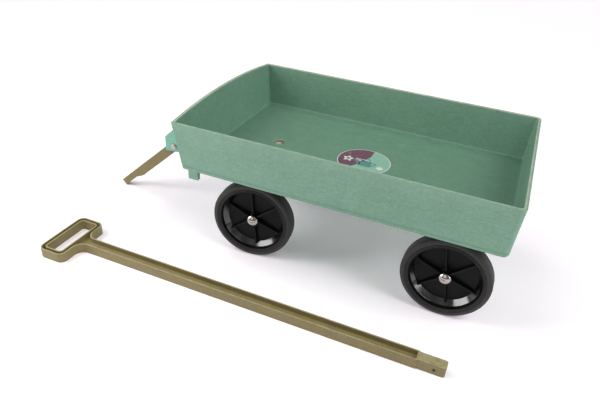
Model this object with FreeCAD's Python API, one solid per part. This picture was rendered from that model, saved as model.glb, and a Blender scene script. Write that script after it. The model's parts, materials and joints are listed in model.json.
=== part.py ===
"""Garden hand cart: moulded tub on four wheels, swivelling front carrier, drawbar stub, loose handle.

Frame, in millimetres: +X is forward, the towed end; +Y is the cart's left; +Z is up.
The origin is on the ground, under the middle of the tub's rim.  The front carrier stands turned a
little to the left, the drawbar stub rests its tip on the ground, and the handle lies beside the cart.
"""
import FreeCAD, Part
import math
import os

V = FreeCAD.Vector
UP = V(0, 0, 1)
LEFT = V(0, 1, 0)

# ---------------------------------------------------------------- clearances and fits
running_gap = 0.05        # radial, for a shaft that turns in its hole
seat_gap = 0.03           # radial, for a piece that is pushed on or screwed in
side_gap = 0.4            # axial, between a piece that turns and its neighbour
cut_spare = 1.0           # how far a cutting solid runs past the face it cuts

# ---------------------------------------------------------------- tub
tub_length = 609.0        # outside, at the rim
tub_width = 392.0         # outside, at the rim
tub_side_lean = 11.0      # how much further in each side is at the bottom
tub_front_lean = 12.5
tub_rear_lean = 4.5
tub_depth = 95.5          # outside, from the underside to the top of the side walls
wheel_clearance = 16.0    # between the wheels and the tub's underside
arch_rise = 12.5          # how far the front wall's top rises at its middle
tub_wall = 5.5
tub_floor = 6.3
front_corner_r = 3.0
rear_corner_r = 11.0

foot_length = 21.0        # two small feet under the front corners, flush with the sides
foot_drop = 17.0
foot_depth = 9.0
foot_from_end = 24.5      # from the rim's front end to the foot's front

label_x = -4.0            # round label, let into the floor so that its face is level
label_y = -4.0
label_r = 53.0
label_thickness = 0.3

# ---------------------------------------------------------------- wheels
wheel_r = 80.0
tyre_width = 29.0
wheel_inset = 39.5        # outer side of the tyre, in from the rim's side
tyre_shoulder_r = 6.0
tyre_bulge = 1.0          # the side's widest ring stands out this much
tyre_widest_in = 9.6      # that ring's distance in from the tread
tyre_depth = 15.0         # from the tread to the seat on the rim
rim_lip = 1.5             # the rim's edge stands this much inside the tyre's side
rim_barrel = 3.0
rim_lip_width = 1.5       # flat lip round the dish
dish_width = 9.5          # sloping ring between the lip and the flat web
web_depth = 16.5          # from the lip to the web's face
web_thickness = 4.0
hub_r = 10.0
hub_outer_depth = 4.5     # from the lip to the hub's outer face
hub_inner_stand = 1.5     # the hub's inner end past the tyre's inner side
rib_count = 6
rib_thickness = 3.6
rib_hub_height = 9.0      # above the web, at the hub
rib_rim_height = 5.0      # above the web, at the dish
rib_root = 1.0            # how deep a rib's ends run into the hub and the dish
rear_wheel_turn = 10.0    # degrees that the ribs stand turned from upright
front_wheel_turn = 6.0

axle_r = 5.0
rear_axle_from_end = 90.0 # from the rim's rear end
washer_r = 9.5
washer_thickness = 1.5
cap_r = 11.0              # domed push-on cap
cap_skirt = 3.0
cap_dome = 8.0
cap_bore_depth = 5.5
cap_end_gap = 0.5         # between the axle's end and the cap's bore

# ---------------------------------------------------------------- axle carriers
cheek_thickness = 10.0
cheek_boss_r = 14.0
cheek_top_half = 24.0     # half the cheek's length along the cart, at the beam
beam_half = 26.0          # half the beam's length along the cart
beam_thickness = 6.0
carrier_web = 6.0
carrier_web_drop = 42.0   # height of the beam and its stiffening web
rear_pad_height = 12.0    # pads under the tub that the rear carrier is screwed to
rear_pad_r = 8.0
rear_screw_x = 18.0       # from the axle
rear_screw_from_cheek = 30.1
screw_r = 2.5
screw_head_r = 4.6
screw_head_height = 3.2
screw_bite = 11.0         # how far a screw goes into its pad

# ---------------------------------------------------------------- kingpin and steering
kingpin_from_end = 125.5  # from the rim's front end
steer_at_rest = 6.7       # degrees, turned to the left
steer_limit = 30.0        # degrees from straight ahead, where the arm meets its stop
kingpin_r = 4.0
bush_r = 8.0              # outside of the bush that the front carrier turns on
kingpin_boss_r = 24.0
kingpin_boss_drop = 12.0
recess_r = 11.5           # round recess in the tub's floor, for the nut
recess_floor_drop = 6.0   # below the tub's underside
nut_half_flat = 6.5
nut_height = 6.5
bolt_head_height = 5.3
bolt_end = 2.0            # the bolt's thread past its nut
kingpin_washer_r = 8.5
kingpin_washer_thickness = 1.6
turntable_r = 23.0        # slip washer between the tub and the carrier
turntable_thickness = 2.0
carrier_hub_r = 22.0
carrier_hub_height = 44.0
stop_radius = 110.0       # from the kingpin to the steering stops under the tub
stop_r = 6.0
stop_gap = 0.5            # between the arm and its stop at the steering limit
stop_overlap = 8.0        # how far a stop hangs below the arm's top

# ---------------------------------------------------------------- drawbar
arm_height = 36.0
arm_top_below_tub = 14.0
arm_wall = 4.2
ear_front = 20.5          # in front of the drawbar's pivot
ear_bottom = 12.0         # below the pivot
ear_top = 32.5            # above the pivot
ear_chamfer = 12.0
pivot_reach = 235.0       # from the kingpin to the drawbar's pivot
pivot_drop = 45.0         # below the tub's underside
pivot_bolt_r = 3.0
pivot_nut_half_flat = 5.0
pivot_nut_height = 5.0
pivot_head_r = 5.6
pivot_head_height = 3.4
pivot_washer_r = 6.5
pivot_washer_thickness = 1.0
link_width = 20.0
link_height = 21.0
link_side_gap = 0.4
link_back_gap = 1.2       # between the link's round end and the arm's end wall
link_reach = 190.0        # from the pivot to the tip
tongue_length = 45.0
tongue_width = 15.0
tongue_height = 14.8
tongue_chamfer = 2.5
tongue_root = 5.0         # how far the tongue runs back into the link
link_underside_taper = 18.0
ground_gap = 0.1

# ---------------------------------------------------------------- handle
handle_length = 778.0
handle_end_x = -257.0     # socket end, as the handle lies beside the cart
handle_aside = 91.5       # its middle line, out from the tub's rim
handle_height = 20.5
handle_wall = 3.0
web_top_z = 10.5          # the channel's floor, half way up the handle
socket_block = 46.0
socket_block_corner_r = 4.0
socket_gap = 0.2
socket_wall = 2.3         # beside the tongue's socket
socket_roof = 2.4         # above and below the socket
cross_hole_from_end = 18.5
cross_hole_r = 2.0
cross_collar_r = 3.4
cross_collar_height = 1.5
grip_width = 122.0
grip_length = 58.0
grip_corner_r = 14.0
grip_shoulder_r = 18.0
grip_groove = 5.0         # between the grip's outer wall and its inner ring
grip_ring_corner_r = 8.0

# ---------------------------------------------------------------- worked-out sizes and places
tub_bottom_z = 2 * wheel_r + wheel_clearance
rim_z = tub_bottom_z + tub_depth
foot_front_x = tub_length / 2 - foot_from_end
rear_axle_x = rear_axle_from_end - tub_length / 2
kingpin_x = tub_length / 2 - kingpin_from_end
recess_floor_z = tub_bottom_z - recess_floor_drop
pivot_z = tub_bottom_z - pivot_drop
tyre_face_y = tub_width / 2 - wheel_inset
tyre_seat_r = wheel_r - tyre_depth
rim_inner_lip_r = tyre_seat_r - rim_lip_width
web_r = rim_inner_lip_r - dish_width
lip_y = tyre_face_y - rim_lip
web_y = lip_y - web_depth
hub_outer_y = lip_y - hub_outer_depth
tyre_inner_y = tyre_face_y - tyre_width
hub_inner_y = tyre_inner_y - hub_inner_stand
cheek_y = hub_inner_y - side_gap - washer_thickness
cap_y = hub_outer_y + side_gap
floor_top_z = tub_bottom_z + tub_floor
wheel_z = wheel_r
boss_z = tub_bottom_z - kingpin_boss_drop
carrier_top_z = boss_z - turntable_thickness
carrier_bottom_z = carrier_top_z - carrier_hub_height
arm_half = link_width / 2 + link_side_gap + arm_wall
arm_top_z = tub_bottom_z - arm_top_below_tub
arm_end_s = pivot_reach - link_height / 2 - link_back_gap
nut_across_corners = 2 / math.sqrt(3)
rear_screw_y = cheek_y - cheek_thickness - rear_screw_from_cheek
socket_block_width = tongue_width + 2 * (socket_gap + socket_wall)
socket_block_height = tongue_height + 2 * (socket_gap + socket_roof)
shaft_width = socket_block_width + 2 * cross_collar_height
cross_hole_z = socket_block_height / 2
handle_y = tub_width / 2 + handle_aside


# ---------------------------------------------------------------- small helpers
def box(x0, x1, y0, y1, z0, z1):
    return Part.makeBox(x1 - x0, y1 - y0, z1 - z0, V(x0, y0, z0))


def cylinder(radius, length, base, direction):
    return Part.makeCylinder(radius, length, base, direction)


def ring(outer_r, inner_r, length, base, direction):
    return cylinder(outer_r, length, base, direction).cut(cylinder(inner_r, length, base, direction))


def hexagon(half_flat, length, base, direction):
    """Six-sided prism: half_flat is half the distance across its flats."""
    corner_r = half_flat * nut_across_corners
    corners = []
    for i in range(7):
        angle = math.radians(60 * i)
        corners.append(V(corner_r * math.cos(angle), corner_r * math.sin(angle), 0))
    prism = Part.Face(Part.makePolygon(corners)).extrude(V(0, 0, length))
    turn = FreeCAD.Rotation(UP, direction)
    prism.Placement = FreeCAD.Placement(base, turn)
    return prism


def prism(points, direction):
    """Straight-sided solid: the closed outline, pulled along direction."""
    return Part.Face(Part.makePolygon(points + [points[0]])).extrude(direction)


def revolve_about_y(profile, corner_radii=None):
    """Solid turned about the Y axis from (radius, y) points, with the named corners rounded."""
    points = [V(r, y, 0) for r, y in profile]
    wire = Part.makePolygon(points + [points[0]])
    if corner_radii:
        wire = rounded(points, corner_radii)
    return Part.Face(wire).revolve(V(0, 0, 0), LEFT, 360)


def rounded(points, radii):
    """Closed wire through the points; radii[i] rounds corner i, and 0 keeps it sharp."""
    count = len(points)
    starts = []
    ends = []
    for i, point in enumerate(points):
        radius = radii[i]
        if radius == 0:
            starts.append(point)
            ends.append(point)
            continue
        back = (points[i - 1] - point).normalize()
        ahead = (points[(i + 1) % count] - point).normalize()
        half = back.getAngle(ahead) / 2
        reach = radius / math.tan(half)
        starts.append(point + back * reach)
        ends.append(point + ahead * reach)
    edges = []
    for i, point in enumerate(points):
        if radii[i] > 0:
            middle_way = (starts[i] + ends[i]) * 0.5 - point
            half = (starts[i] - point).getAngle(ends[i] - point) / 2
            corner_to_arc = radii[i] / math.sin(half) - radii[i]
            middle = point + middle_way.normalize() * corner_to_arc
            edges.append(Part.Arc(starts[i], middle, ends[i]).toShape())
        following = starts[(i + 1) % count]
        if (following - ends[i]).Length > 1e-6:
            edges.append(Part.LineSegment(ends[i], following).toShape())
    return Part.Wire(edges)


def joined(first, *others):
    solid = first
    for other in others:
        solid = solid.fuse(other)
    return solid.removeSplitter()


def steered(shape):
    """Moves a shape made about the kingpin, looking straight ahead, to its turned place."""
    moved = shape.copy()
    moved.rotate(V(0, 0, 0), UP, steer_at_rest)
    moved.translate(V(kingpin_x, 0, 0))
    return moved


def placed(shape, x):
    moved = shape.copy()
    moved.translate(V(x, 0, 0))
    return moved


def at_rear(shape):
    """Moves a shape made about the kingpin to the rear axle."""
    return placed(shape, rear_axle_x)


def mirrored(shape):
    """The cart's other side: the shape reflected in the middle plane."""
    return shape.mirror(V(0, 0, 0), LEFT)


def save(name, shape):
    shape.exportStep("parts/" + name + ".step")


# ---------------------------------------------------------------- tub and label
def tub_section(z, inset):
    """Outline of the tub's walls at height z, moved inwards by inset."""
    down = (rim_z - z) / (rim_z - tub_bottom_z)
    front = tub_length / 2 - tub_front_lean * down - inset
    rear = -tub_length / 2 + tub_rear_lean * down + inset
    half = tub_width / 2 - tub_side_lean * down - inset
    corners = [V(front, half, z), V(rear, half, z), V(rear, -half, z), V(front, -half, z)]
    front_r = max(front_corner_r - inset / 2, 0.5)
    rear_r = max(rear_corner_r - inset, 2.0)
    return rounded(corners, [front_r, rear_r, rear_r, front_r])


def make_tub():
    top_z = rim_z + arch_rise + cut_spare
    outer = Part.makeLoft([tub_section(tub_bottom_z, 0), tub_section(top_z, 0)], True, True)
    hollow_ends = [tub_section(floor_top_z, tub_wall), tub_section(top_z + cut_spare, tub_wall)]
    inner = Part.makeLoft(hollow_ends, True, True)
    shell = outer.cut(inner)
    # everything above the rim goes, except the front wall's arch
    far = tub_length
    rim_front_x = tub_length / 2 - 2 * tub_wall
    shell = shell.cut(box(-far, rim_front_x, -far, far, rim_z, rim_z + far))
    arch_half = tub_width / 2 - tub_wall
    start = V(rim_front_x, -arch_half, rim_z)
    crown = V(rim_front_x, 0, rim_z + arch_rise)
    end = V(rim_front_x, arch_half, rim_z)
    edges = [Part.Arc(start, crown, end).toShape()]
    path = [end, V(rim_front_x, far, rim_z), V(rim_front_x, far, far)]
    path += [V(rim_front_x, -far, far), V(rim_front_x, -far, rim_z), start]
    for a, b in zip(path[:-1], path[1:]):
        edges.append(Part.LineSegment(a, b).toShape())
    shell = shell.cut(Part.Face(Part.Wire(edges)).extrude(V(far, 0, 0)))
    # two feet under the front corners
    half = tub_width / 2 - tub_side_lean
    foot = box(foot_front_x - foot_length, foot_front_x, half - foot_depth, half,
               tub_bottom_z - foot_drop, tub_bottom_z + tub_floor / 2)
    # kingpin boss, steering stops and the pads for the rear carrier
    boss = cylinder(kingpin_boss_r, kingpin_boss_drop + tub_floor / 2, V(kingpin_x, 0, boss_z), UP)
    solid = joined(shell, foot, mirrored(foot), boss)
    stop_side = arm_half + stop_r + stop_gap
    stop_angle = steer_limit + math.degrees(math.asin(stop_side / stop_radius))
    stop_length = arm_top_below_tub + stop_overlap
    for side in (1, -1):
        angle = math.radians(side * stop_angle)
        x = kingpin_x + stop_radius * math.cos(angle)
        y = stop_radius * math.sin(angle)
        peg = cylinder(stop_r, stop_length + tub_floor / 2, V(x, y, tub_bottom_z - stop_length), UP)
        solid = joined(solid, peg)
    for x, y in rear_screw_places():
        pad_z = tub_bottom_z - rear_pad_height
        pad = cylinder(rear_pad_r, rear_pad_height + tub_floor / 2, V(x, y, pad_z), UP)
        solid = joined(solid, pad)
    for x, y in rear_screw_places():
        pilot = cylinder(screw_r + seat_gap, screw_bite + cut_spare, V(x, y, tub_bottom_z - rear_pad_height), UP)
        solid = solid.cut(pilot)
    recess = cylinder(recess_r, far, V(kingpin_x, 0, recess_floor_z), UP)
    hole = cylinder(kingpin_r + seat_gap, far, V(kingpin_x, 0, 0), UP)
    label_seat = cylinder(label_r + seat_gap, far, V(label_x, label_y, floor_top_z - label_thickness), UP)
    return solid.cut(recess).cut(hole).cut(label_seat)


def make_label():
    return cylinder(label_r, label_thickness, V(label_x, label_y, floor_top_z - label_thickness), UP)


# ---------------------------------------------------------------- wheels, on the left of an axle
def make_rim(turn):
    """Dished rim with its ribs; turn is how far the wheel has rolled from upright ribs, in degrees."""
    barrel_inner_y = tyre_inner_y + rim_lip
    profile = [
        (axle_r + running_gap, hub_inner_y),
        (hub_r, hub_inner_y),
        (hub_r, web_y - web_thickness),
        (web_r, web_y - web_thickness),
        (tyre_seat_r - rim_barrel, barrel_inner_y + rim_lip),
        (tyre_seat_r - rim_barrel, barrel_inner_y),
        (tyre_seat_r, barrel_inner_y),
        (tyre_seat_r, lip_y),
        (rim_inner_lip_r, lip_y),
        (web_r, web_y),
        (hub_r, web_y),
        (hub_r, hub_outer_y),
        (axle_r + running_gap, hub_outer_y),
    ]
    rim = revolve_about_y(profile)
    dish_slope = (rim_inner_lip_r - web_r) / web_depth
    rib_end = web_r + rib_rim_height * dish_slope + rib_root
    start = hub_r - rib_root
    for i in range(rib_count):
        points = [
            V(-rib_thickness / 2, web_y - web_thickness / 2, start),
            V(-rib_thickness / 2, web_y - web_thickness / 2, rib_end),
            V(-rib_thickness / 2, web_y + rib_rim_height, rib_end),
            V(-rib_thickness / 2, web_y + rib_hub_height, start),
        ]
        rib = prism(points, V(rib_thickness, 0, 0))
        rib.rotate(V(0, 0, 0), LEFT, turn + 360 / rib_count * i)
        rim = rim.fuse(rib)
    rim = rim.removeSplitter()
    rim.translate(V(0, 0, wheel_z))
    return rim


def make_tyre():
    inner_r = tyre_seat_r + seat_gap
    profile = [
        (inner_r, tyre_inner_y + tyre_bulge),
        (wheel_r - tyre_widest_in, tyre_inner_y),
        (wheel_r, tyre_inner_y + tyre_bulge),
        (wheel_r, tyre_face_y - tyre_bulge),
        (wheel_r - tyre_widest_in, tyre_face_y),
        (inner_r, tyre_face_y - tyre_bulge),
    ]
    tyre = revolve_about_y(profile, [0, 0, tyre_shoulder_r, tyre_shoulder_r, 0, 0])
    tyre.translate(V(0, 0, wheel_z))
    return tyre


def make_cap():
    """Domed cap, pushed onto the axle's end."""
    profile = [
        (0, cap_bore_depth), (axle_r + seat_gap, cap_bore_depth), (axle_r + seat_gap, 0),
        (cap_r, 0), (cap_r, cap_skirt),
    ]
    points = [V(r, y, 0) for r, y in profile]
    edges = []
    for a, b in zip(points[:-1], points[1:]):
        edges.append(Part.LineSegment(a, b).toShape())
    top = V(0, cap_skirt + cap_dome, 0)
    dome_r = (cap_r ** 2 + cap_dome ** 2) / (2 * cap_dome)
    centre_y = cap_skirt + cap_dome - dome_r
    half_angle = math.asin(cap_r / dome_r) / 2
    middle = V(dome_r * math.sin(half_angle), centre_y + dome_r * math.cos(half_angle), 0)
    edges.append(Part.Arc(points[-1], middle, top).toShape())
    edges.append(Part.LineSegment(top, points[0]).toShape())
    cap = Part.Face(Part.Wire(edges)).revolve(V(0, 0, 0), LEFT, 360)
    cap.translate(V(0, cap_y, wheel_z))
    return cap


def make_washers():
    washer = ring(washer_r, axle_r + running_gap, washer_thickness, V(0, cheek_y, wheel_z), LEFT)
    return Part.makeCompound([washer, mirrored(washer)])


def make_axle():
    end_y = cap_y + cap_bore_depth - cap_end_gap
    return cylinder(axle_r, 2 * end_y, V(0, -end_y, wheel_z), LEFT)


# ---------------------------------------------------------------- axle carriers
def axle_beam(top_z):
    """Beam with a bearing cheek at each end, under a flat top at top_z, centred on the axle."""
    plate = box(-beam_half, beam_half, -cheek_y, cheek_y, top_z - beam_thickness, top_z)
    web = box(-carrier_web / 2, carrier_web / 2, -cheek_y, cheek_y,
              top_z - carrier_web_drop, top_z - beam_thickness / 2)
    top = top_z - beam_thickness / 2
    outline = [
        V(-cheek_top_half, cheek_y - cheek_thickness, top),
        V(-cheek_boss_r, cheek_y - cheek_thickness, wheel_z),
        V(cheek_boss_r, cheek_y - cheek_thickness, wheel_z),
        V(cheek_top_half, cheek_y - cheek_thickness, top),
    ]
    cheek = prism(outline, V(0, cheek_thickness, 0))
    eye = cylinder(cheek_boss_r, cheek_thickness, V(0, cheek_y - cheek_thickness, wheel_z), LEFT)
    cheek = joined(cheek, eye)
    beam = joined(plate, web, cheek, mirrored(cheek))
    axle_hole = cylinder(axle_r + seat_gap, 4 * cheek_y, V(0, -2 * cheek_y, wheel_z), LEFT)
    return beam.cut(axle_hole)


def rear_screw_places():
    places = []
    for dx in (-rear_screw_x, rear_screw_x):
        for dy in (-rear_screw_y, rear_screw_y):
            places.append((rear_axle_x + dx, dy))
    return places


def make_rear_carrier():
    top_z = tub_bottom_z - rear_pad_height
    carrier = at_rear(axle_beam(top_z))
    for x, y in rear_screw_places():
        hole = cylinder(screw_r + seat_gap, 2 * beam_thickness, V(x, y, top_z - 1.5 * beam_thickness), UP)
        carrier = carrier.cut(hole)
    return carrier


def make_rear_screws():
    head_top_z = tub_bottom_z - rear_pad_height - beam_thickness
    screws = []
    for x, y in rear_screw_places():
        head = cylinder(screw_head_r, screw_head_height, V(x, y, head_top_z - screw_head_height), UP)
        shank = cylinder(screw_r, beam_thickness + screw_bite, V(x, y, head_top_z), UP)
        screws.append(joined(head, shank))
    return Part.makeCompound(screws)


def make_front_carrier():
    """Turntable hub, axle beam, forward arm and the two ears that hold the drawbar."""
    hub = cylinder(carrier_hub_r, carrier_hub_height, V(0, 0, carrier_bottom_z), UP)
    beam = axle_beam(carrier_top_z)
    arm_bottom_z = arm_top_z - arm_height
    arm = box(0, arm_end_s, -arm_half, arm_half, arm_bottom_z, arm_top_z)
    hollow = box(carrier_hub_r - arm_wall, arm_end_s - arm_wall, -arm_half + arm_wall, arm_half - arm_wall,
                 arm_bottom_z - cut_spare, arm_top_z - arm_wall)
    ear_z0 = pivot_z - ear_bottom
    ear_z1 = pivot_z + ear_top
    ear_s1 = pivot_reach + ear_front
    inner = link_width / 2 + link_side_gap
    outline = [
        V(arm_end_s - arm_wall, inner, ear_z0),
        V(ear_s1, inner, ear_z0),
        V(ear_s1, inner, ear_z1 - ear_chamfer),
        V(ear_s1 - ear_chamfer, inner, ear_z1),
        V(arm_end_s - arm_wall, inner, ear_z1),
    ]
    ear = prism(outline, V(0, arm_wall, 0))
    end_wall = box(arm_end_s - arm_wall, arm_end_s, -arm_half, arm_half, ear_z0, ear_z1)
    body = joined(hub, beam, arm.cut(hollow), ear, mirrored(ear), end_wall)
    kingpin_bore = cylinder(bush_r + seat_gap, tub_bottom_z, V(0, 0, 0), UP)
    pivot_start = V(pivot_reach, -2 * arm_half, pivot_z)
    pivot_bore = cylinder(pivot_bolt_r + seat_gap, 4 * arm_half, pivot_start, LEFT)
    return steered(body.cut(kingpin_bore).cut(pivot_bore))


# ---------------------------------------------------------------- kingpin
def make_kingpin_bolt():
    head_top_z = carrier_bottom_z - kingpin_washer_thickness
    end_z = recess_floor_z + kingpin_washer_thickness + nut_height + bolt_end
    head = hexagon(nut_half_flat, bolt_head_height, V(0, 0, head_top_z - bolt_head_height), UP)
    shank = cylinder(kingpin_r, end_z - head_top_z, V(0, 0, head_top_z), UP)
    return placed(joined(head, shank), kingpin_x)


def make_kingpin_washers():
    washers = []
    for base_z in (recess_floor_z, carrier_bottom_z - kingpin_washer_thickness):
        base = V(0, 0, base_z)
        washer = ring(kingpin_washer_r, kingpin_r + seat_gap, kingpin_washer_thickness, base, UP)
        washers.append(washer)
    return placed(Part.makeCompound(washers), kingpin_x)


def make_kingpin_nut():
    base_z = recess_floor_z + kingpin_washer_thickness
    nut = hexagon(nut_half_flat, nut_height, V(0, 0, base_z), UP)
    return placed(nut.cut(cylinder(kingpin_r + seat_gap, nut_height, V(0, 0, base_z), UP)), kingpin_x)


def make_kingpin_bush():
    """Sleeve pressed into the front carrier's hub; it turns on the kingpin."""
    base = V(0, 0, carrier_bottom_z)
    return placed(ring(bush_r, kingpin_r + running_gap, carrier_hub_height, base, UP), kingpin_x)


def make_turntable_disc():
    disc = ring(turntable_r, kingpin_r + running_gap, turntable_thickness, V(0, 0, carrier_top_z), UP)
    return placed(disc, kingpin_x)


# ---------------------------------------------------------------- drawbar and its bolt
def link_pitch():
    """Angle below level at which the link's lower tip corner meets the ground, in degrees."""
    corner_drop = tongue_height - link_height / 2
    corner_reach = math.hypot(link_reach, corner_drop)
    corner_angle = math.degrees(math.atan2(corner_drop, link_reach))
    return math.degrees(math.asin((pivot_z - ground_gap) / corner_reach)) - corner_angle


def make_drawbar_link():
    top = link_height / 2
    tongue_bottom = top - tongue_height
    tongue_start = link_reach - tongue_length
    outline = [
        V(0, 0, top), V(tongue_start, 0, top), V(tongue_start, 0, tongue_bottom),
        V(tongue_start - link_underside_taper, 0, -top), V(0, 0, -top),
    ]
    across = V(0, link_width, 0)
    bar = prism(outline, across)
    bar.translate(V(0, -link_width / 2, 0))
    eye = cylinder(top, link_width, V(0, -link_width / 2, 0), LEFT)
    half = tongue_width / 2
    plan = [
        V(tongue_start - tongue_root, -half, tongue_bottom),
        V(link_reach - tongue_chamfer, -half, tongue_bottom),
        V(link_reach, -half + tongue_chamfer, tongue_bottom),
        V(link_reach, half - tongue_chamfer, tongue_bottom),
        V(link_reach - tongue_chamfer, half, tongue_bottom),
        V(tongue_start - tongue_root, half, tongue_bottom),
    ]
    tongue = prism(plan, V(0, 0, tongue_height))
    link = joined(bar, eye, tongue)
    link = link.cut(cylinder(pivot_bolt_r + running_gap, 2 * link_width, V(0, -link_width, 0), LEFT))
    link.rotate(V(0, 0, 0), LEFT, link_pitch())
    link.translate(V(pivot_reach, 0, pivot_z))
    return steered(link)


def make_drawbar_bolt():
    """Round-headed bolt across the ears, head on the left."""
    seat = arm_half + pivot_washer_thickness
    end = seat + pivot_nut_height + bolt_end
    shank = cylinder(pivot_bolt_r, seat + end, V(pivot_reach, -end, pivot_z), LEFT)
    head = cylinder(pivot_head_r, pivot_head_height, V(pivot_reach, seat, pivot_z), LEFT)
    return steered(joined(shank, head))


def make_drawbar_nut():
    base = V(pivot_reach, -arm_half - pivot_washer_thickness - pivot_nut_height, pivot_z)
    nut = hexagon(pivot_nut_half_flat, pivot_nut_height, base, LEFT)
    return steered(nut.cut(cylinder(pivot_bolt_r + seat_gap, pivot_nut_height, base, LEFT)))


def make_drawbar_washers():
    washer = ring(pivot_washer_r, pivot_bolt_r + seat_gap, pivot_washer_thickness,
                  V(pivot_reach, arm_half, pivot_z), LEFT)
    return steered(Part.makeCompound([washer, mirrored(washer)]))


# ---------------------------------------------------------------- handle
def rounded_box(x0, x1, half, z0, z1, radius):
    corners = [V(x0, half, z0), V(x1, half, z0), V(x1, -half, z0), V(x0, -half, z0)]
    return Part.Face(rounded(corners, [radius] * 4)).extrude(V(0, 0, z1 - z0))


def handle_solid(inset, z0, z1, start_x):
    """The handle's T-shaped outline, moved inwards by inset, from its shaft's start_x to its grip."""
    grip_half = grip_width / 2 - inset
    shaft_half = shaft_width / 2 - inset
    grip_end = handle_length - inset
    grip_start = handle_length - grip_length + inset
    corner_r = grip_corner_r - inset
    shoulder_r = grip_shoulder_r + inset
    side = [
        V(start_x, shaft_half, z0), V(grip_start, shaft_half, z0),
        V(grip_start, grip_half, z0), V(grip_end, grip_half, z0),
    ]
    other_side = [V(p.x, -p.y, p.z) for p in reversed(side)]
    radii = [0, shoulder_r, corner_r, corner_r, corner_r, corner_r, shoulder_r, 0]
    return Part.Face(rounded(side + other_side, radii)).extrude(V(0, 0, z1 - z0))


def make_handle():
    """H-section shaft with a D-grip at one end and a socket block at the other."""
    block_half = socket_block_width / 2
    body = handle_solid(0, 0, handle_height, socket_block)
    block = box(0, socket_block + cut_spare, -block_half, block_half, 0, socket_block_height)
    upright = [edge for edge in block.Edges if is_block_corner(edge)]
    block = block.makeFillet(socket_block_corner_r, upright)
    channel_start = socket_block + handle_wall
    channel = handle_solid(handle_wall, web_top_z, handle_height + cut_spare, channel_start)
    underside = handle_solid(handle_wall, -cut_spare, web_top_z - handle_wall, channel_start)
    ring_inset = handle_wall + grip_groove
    grip_start = handle_length - grip_length
    grip_half = grip_width / 2
    grip_ring = rounded_box(grip_start + ring_inset, handle_length - ring_inset, grip_half - ring_inset,
                            0, handle_height, grip_ring_corner_r)
    hole_inset = ring_inset + handle_wall
    opening = rounded_box(grip_start + hole_inset, handle_length - hole_inset, grip_half - hole_inset,
                          -cut_spare, handle_height + cut_spare, grip_ring_corner_r - handle_wall)
    handle = joined(body.cut(channel).cut(underside), grip_ring, block).cut(opening)
    socket_half = tongue_width / 2 + socket_gap
    socket_top = socket_block_height - socket_roof
    socket_floor = socket_top - tongue_height - 2 * socket_gap
    socket = box(-cut_spare, tongue_length, -socket_half, socket_half, socket_floor, socket_top)
    collar_half = block_half + cross_collar_height
    collar_start = V(cross_hole_from_end, -collar_half, cross_hole_z)
    collar = cylinder(cross_collar_r, 2 * collar_half, collar_start, LEFT)
    cross_start = V(cross_hole_from_end, -2 * collar_half, cross_hole_z)
    cross = cylinder(cross_hole_r, 4 * collar_half, cross_start, LEFT)
    handle = joined(handle, collar).cut(socket).cut(cross)
    handle.translate(V(handle_end_x, handle_y, 0))
    return handle


def is_block_corner(edge):
    """True for the socket block's two upright edges at the end away from the shaft."""
    ends = [vertex.Point for vertex in edge.Vertexes]
    at_end = all(point.x == 0 for point in ends)
    return at_end and ends[0].z != ends[1].z


# ---------------------------------------------------------------- write every piece
def main():
    os.makedirs("parts", exist_ok=True)
    save("tub", make_tub())
    save("floor_label", make_label())
    save("rear_axle_carrier", make_rear_carrier())
    save("rear_carrier_screws", make_rear_screws())
    save("kingpin_bolt", make_kingpin_bolt())
    save("kingpin_nut", make_kingpin_nut())
    save("kingpin_washers", make_kingpin_washers())
    save("kingpin_bush", make_kingpin_bush())
    save("turntable_disc", make_turntable_disc())
    save("front_carrier", make_front_carrier())
    for end, put, turn in (("rear", at_rear, rear_wheel_turn), ("front", steered, front_wheel_turn)):
        save(end + "_axle", put(make_axle()))
        save(end + "_axle_washers", put(make_washers()))
        wheel_pieces = {"rim": make_rim(turn), "tyre": make_tyre(), "cap": make_cap()}
        for piece, shape in wheel_pieces.items():
            save(end + "_left_" + piece, put(shape))
            save(end + "_right_" + piece, put(mirrored(shape)))
    save("drawbar_link", make_drawbar_link())
    save("drawbar_bolt", make_drawbar_bolt())
    save("drawbar_nut", make_drawbar_nut())
    save("drawbar_washers", make_drawbar_washers())
    save("handle", make_handle())


main()
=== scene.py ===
"""Looks of a garden hand cart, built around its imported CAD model.

Units are metres, in the CAD frame: +X is the towed end, +Y the cart's left and +Z up.  Sizes come from the
CAD nodes' boxes where they can, and otherwise from the named values below.
"""
import json
import math

import bmesh
import bpy
from mathutils import Matrix, Vector


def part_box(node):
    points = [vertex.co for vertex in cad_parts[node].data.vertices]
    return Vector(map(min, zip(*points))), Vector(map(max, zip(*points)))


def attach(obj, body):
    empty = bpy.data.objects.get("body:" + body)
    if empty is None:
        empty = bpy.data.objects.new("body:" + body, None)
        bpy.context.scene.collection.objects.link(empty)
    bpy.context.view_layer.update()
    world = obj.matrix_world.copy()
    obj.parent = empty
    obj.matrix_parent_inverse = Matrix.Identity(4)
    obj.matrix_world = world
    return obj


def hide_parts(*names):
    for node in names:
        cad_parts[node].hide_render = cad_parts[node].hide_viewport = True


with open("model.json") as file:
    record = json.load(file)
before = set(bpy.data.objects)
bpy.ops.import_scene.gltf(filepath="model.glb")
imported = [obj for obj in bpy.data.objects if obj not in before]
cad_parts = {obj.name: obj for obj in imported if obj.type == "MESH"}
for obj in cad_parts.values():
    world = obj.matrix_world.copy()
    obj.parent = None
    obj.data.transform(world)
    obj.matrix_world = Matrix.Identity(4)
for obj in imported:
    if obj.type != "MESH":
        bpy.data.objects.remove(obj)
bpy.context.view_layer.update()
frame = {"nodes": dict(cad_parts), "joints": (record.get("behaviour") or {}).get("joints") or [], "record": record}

record = frame["record"]
body_of = {node: body for body, nodes in record["behaviour"]["bodies"].items() for node in nodes}
joint_of = {joint["name"]: joint for joint in frame["joints"]}

mm = 0.001

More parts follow.
